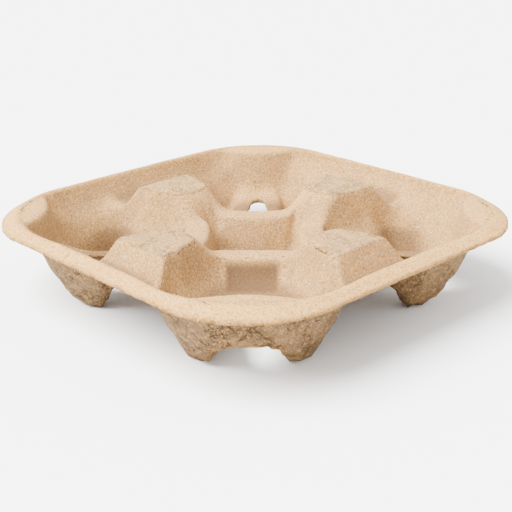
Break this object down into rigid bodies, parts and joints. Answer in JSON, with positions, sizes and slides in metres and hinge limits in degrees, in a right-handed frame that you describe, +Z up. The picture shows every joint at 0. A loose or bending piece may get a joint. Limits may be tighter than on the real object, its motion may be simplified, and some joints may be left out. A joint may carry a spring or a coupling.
{
  "type": "cup carrier",
  "caption": "Square moulded pulp tray with rounded corners that carries cups in drafted wells on arched feet, with posts between the wells and a small centre pocket.",
  "frame": {"origin": "centre of the carrier on the ground, midway between its feet", "axes": "+Z up, X and Y along the sides of the square, a well in each corner"},
  "size_m": [0.215, 0.215, 0.044],
  "materials": {
    "pulp": "dry moulded paper pulp, smooth above and rough below"
  },
  "bodies": {
    "root": {"cup_carrier": "pulp"}
  },
  "joints": []
}
